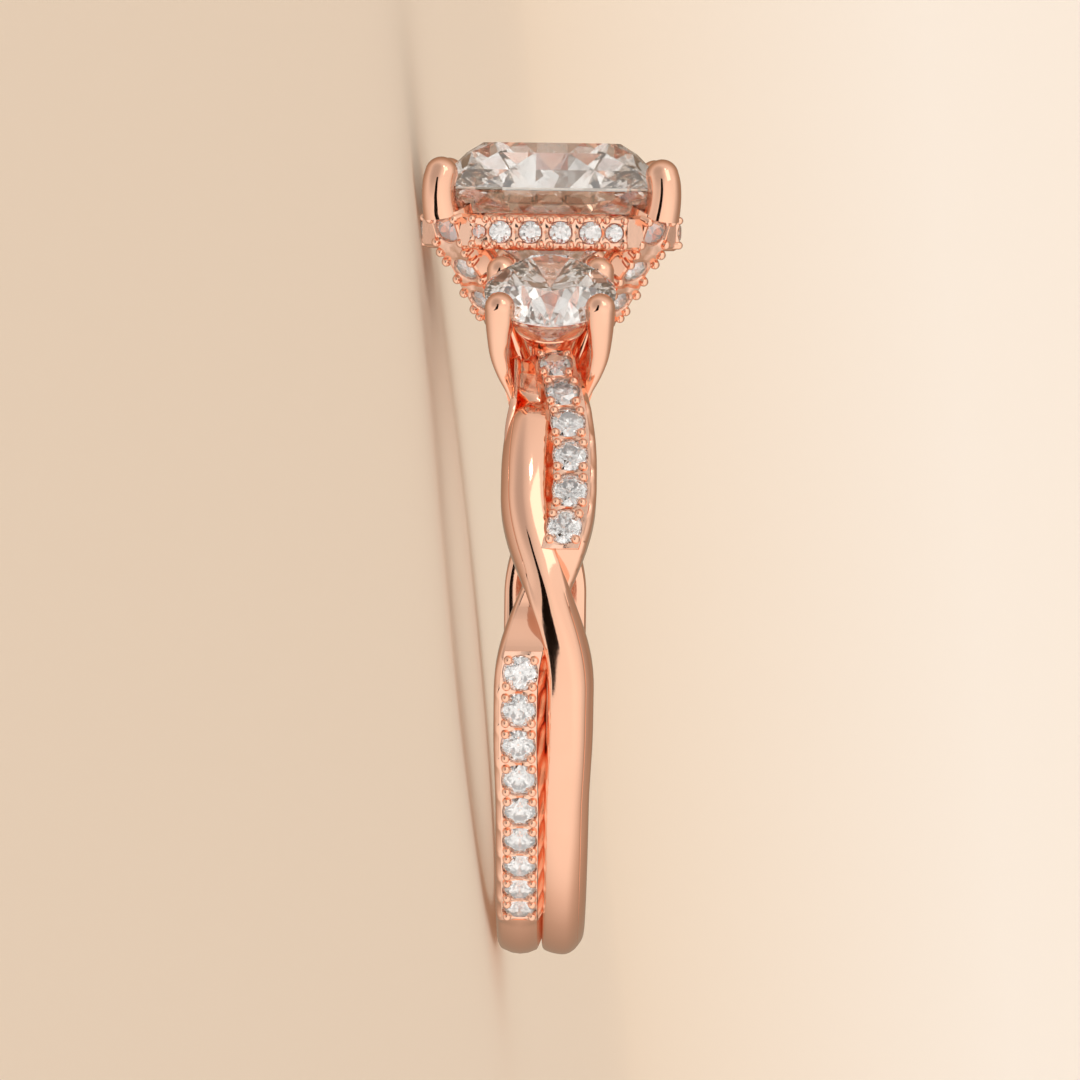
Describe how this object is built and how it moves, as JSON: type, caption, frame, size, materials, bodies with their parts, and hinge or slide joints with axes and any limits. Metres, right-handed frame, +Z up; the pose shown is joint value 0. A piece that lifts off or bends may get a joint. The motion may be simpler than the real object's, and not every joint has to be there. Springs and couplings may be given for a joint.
{
  "type": "twisted shank engagement ring with cushion-cut centre stone",
  "caption": "Three-stone ring in rose gold: plain and stone-set strands twist round the finger and carry a haloed cushion-cut stone and round side stones; lying on its side",
  "frame": {"origin": "middle of the finger hole, halfway along it", "axes": "+X from the finger hole to the head, in plan; +Z up, away from the surface that the ring lies on; +Y to the front side stone. The hole's axis leans 6.53 degrees from +Z, away from the head, because the ring lies on the edge of its head and the back of its shank"},
  "size_m": [0.0244, 0.021, 0.0076],
  "materials": {
    "rose_gold": "polished",
    "diamond": "faceted, polished"
  },
  "bodies": {
    "root": {"setting": "rose_gold", "centre_stone": "diamond", "side_stone_front": "diamond", "side_stone_back": "diamond", "halo_stones": "diamond", "leg_stones": "diamond", "shank_stones_front": "diamond", "shank_stones_back": "diamond"}
  },
  "joints": []
}
